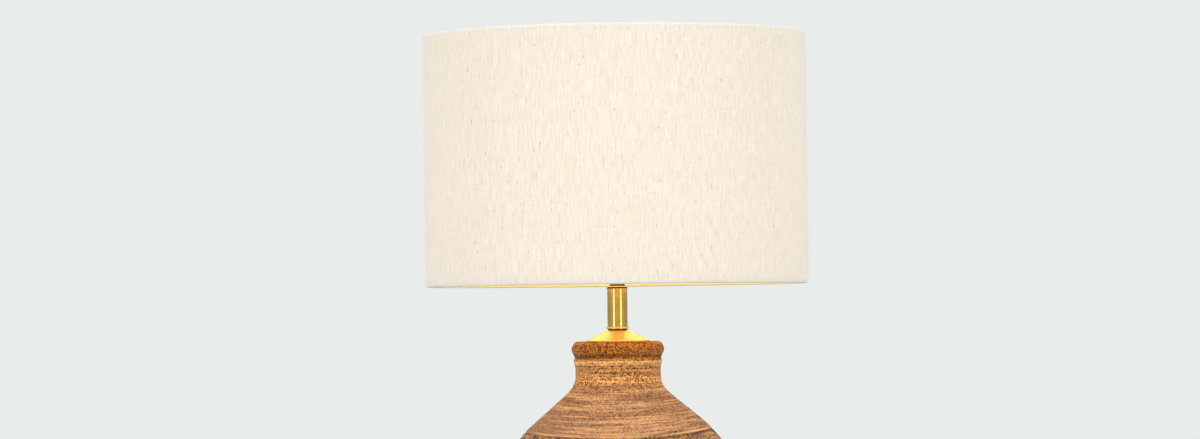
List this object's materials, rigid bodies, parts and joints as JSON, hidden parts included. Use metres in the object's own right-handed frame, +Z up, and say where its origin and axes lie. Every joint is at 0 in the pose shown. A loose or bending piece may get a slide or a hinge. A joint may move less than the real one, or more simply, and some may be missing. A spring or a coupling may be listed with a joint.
{
  "type": "table lamp",
  "caption": "Table lamp with a thrown stoneware vessel, brass cap and neck, screw lampholder with push switch, and a linen drum shade that a threaded ring holds on its fitter.",
  "frame": {"origin": "on the table, under the middle of the cork pad", "axes": "+Z up through the lamp, +Y to the back, where the lead's inlet is, -Y towards the viewer of the picture, +X to that viewer's right"},
  "size_m": [0.4, 0.4, 0.6313],
  "materials": {
    "linen": "woven oatmeal linen",
    "shade_lining": "warm white sheet",
    "shade_wire": "white powder coat",
    "stoneware": "speckled, ash-dusted, unglazed in places",
    "cork": "pressed cork",
    "black_rubber": "matt",
    "satin_brass": "satin, lacquered",
    "zinc_steel": "zinc plated",
    "plug_wood": "turned hardwood",
    "black_moulding": "black phenolic, semi-matt",
    "porcelain": "white",
    "contact_brass": "bright stamped",
    "clear_glass": "clear, thin blown",
    "bulb_metal": "rolled shell",
    "bulb_insulation": "black vitreous",
    "filament": "coated light strips, lit"
  },
  "bodies": {
    "stand": {"cork_pad": "cork", "ceramic_body": "stoneware", "cord_grommet": "black_rubber", "clamp_plate": "zinc_steel", "lock_washer": "zinc_steel", "rod_nut": "zinc_steel", "threaded_rod": "zinc_steel", "mouth_plug": "plug_wood", "vase_cap": "satin_brass", "lower_gasket": "black_rubber", "tube_ferrule": "satin_brass", "neck_tube": "satin_brass", "upper_gasket": "black_rubber", "neck_collar": "satin_brass", "holder_cap": "black_moulding", "holder_grub_screw": "zinc_steel", "holder_body": "black_moulding", "contact_block": "porcelain", "screw_shell": "contact_brass", "centre_contact": "contact_brass", "terminal_screws": "contact_brass", "switch_blade": "contact_brass"},
    "switch": {"switch_bar": "black_moulding"},
    "shade_ring": {"shade_ring": "black_moulding"},
    "bulb": {"bulb_contact": "bulb_metal", "bulb_insulator": "bulb_insulation", "bulb_cap": "bulb_metal", "bulb_glass": "clear_glass", "bulb_stem": "clear_glass", "bulb_filaments": "filament"},
    "shade": {"shade_fitter": "shade_wire", "shade_arms": "shade_wire", "shade_bottom_ring": "shade_wire", "shade_top_ring": "shade_wire", "shade_liner": "shade_lining", "shade_fabric": "linen"}
  },
  "joints": [
    {"name": "shade_turn", "type": "hinge", "parent": "stand", "child": "shade", "pos_m": [0, 0, 0.408], "axis": [0, 0, 1], "continuous": true},
    {"name": "shade_ring_turn", "type": "hinge", "parent": "stand", "child": "shade_ring", "pos_m": [0, 0, 0.4095], "axis": [0, 0, 1], "range_deg": [0, 1080]},
    {"name": "bulb_out", "type": "slide", "parent": "stand", "child": "bulb", "axis": [0, 0, 1], "range_m": [0, 0.235]},
    {"name": "switch_push", "type": "slide", "parent": "stand", "child": "switch", "axis": [1, 0, 0], "range_m": [-0.005, 0]}
  ]
}
